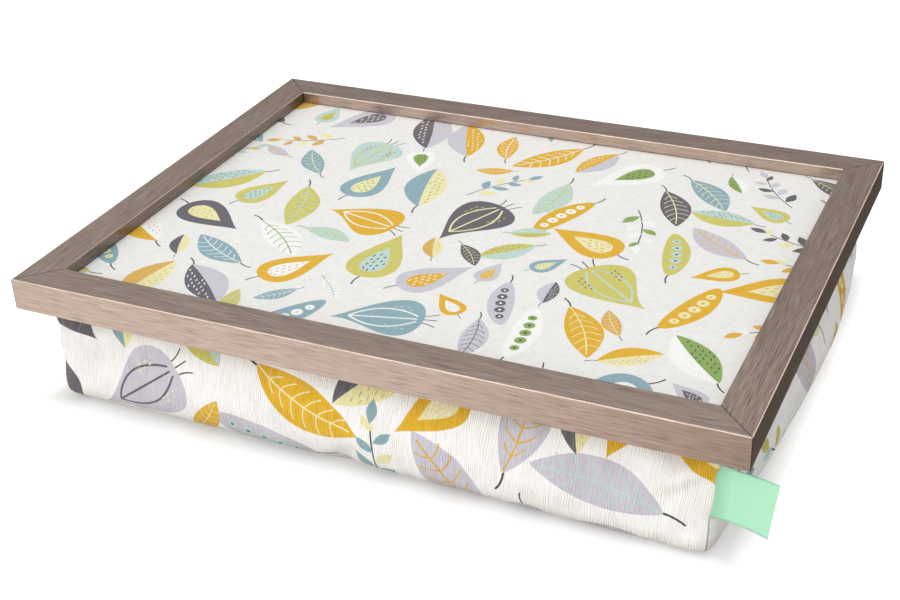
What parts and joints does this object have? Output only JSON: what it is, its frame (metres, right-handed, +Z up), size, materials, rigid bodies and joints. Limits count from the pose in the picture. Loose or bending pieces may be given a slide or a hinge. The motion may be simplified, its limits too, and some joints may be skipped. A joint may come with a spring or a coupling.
{
  "type": "lap tray with cushion",
  "caption": "Rectangular lap tray with a mitred frame and a shallow printed well, on a soft bead cushion that holds with hook-and-loop tape and lifts off.",
  "frame": {"origin": "middle of the flat face that the cushion stands on", "axes": "+X along the tray's long side, -Y towards the user, +Z up"},
  "size_m": [0.4534, 0.332, 0.084],
  "materials": {
    "frame_foil": "satin",
    "fastener_steel": "satin",
    "printed_sheet": "satin",
    "board": "matte",
    "hook_tape": "matte",
    "loop_tape": "matte",
    "cover_cloth": "matte",
    "lining_cloth": "matte",
    "filling": "matte",
    "label_ribbon": "matte"
  },
  "bodies": {
    "cushion": {"cushion_cover": "cover_cloth", "cushion_top_panel": "lining_cloth", "bead_filling": "filling", "loop_strip_front": "loop_tape", "loop_strip_back": "loop_tape", "loop_strip_left": "loop_tape", "loop_strip_right": "loop_tape"},
    "tray": {"frame_rail_front": "frame_foil", "frame_rail_back": "frame_foil", "frame_rail_left": "frame_foil", "frame_rail_right": "frame_foil", "v_nails": "fastener_steel", "retaining_points": "fastener_steel", "printed_sheet": "printed_sheet", "base_board": "board", "hook_strip_front": "hook_tape", "hook_strip_back": "hook_tape", "hook_strip_left": "hook_tape", "hook_strip_right": "hook_tape"},
    "label": {"label_tab": "label_ribbon"}
  },
  "joints": [
    {"name": "tray_lift", "type": "slide", "parent": "cushion", "child": "tray", "axis": [0, 0, 1], "range_m": [0, 0.08]},
    {"name": "label_flap", "type": "hinge", "parent": "cushion", "child": "label", "pos_m": [0.2034, -0.1559, 0.0403], "axis": [0.1392, 0, 0.9903], "range_deg": [-120, 75], "stiffness_Nm_per_rad": 0.0005}
  ]
}
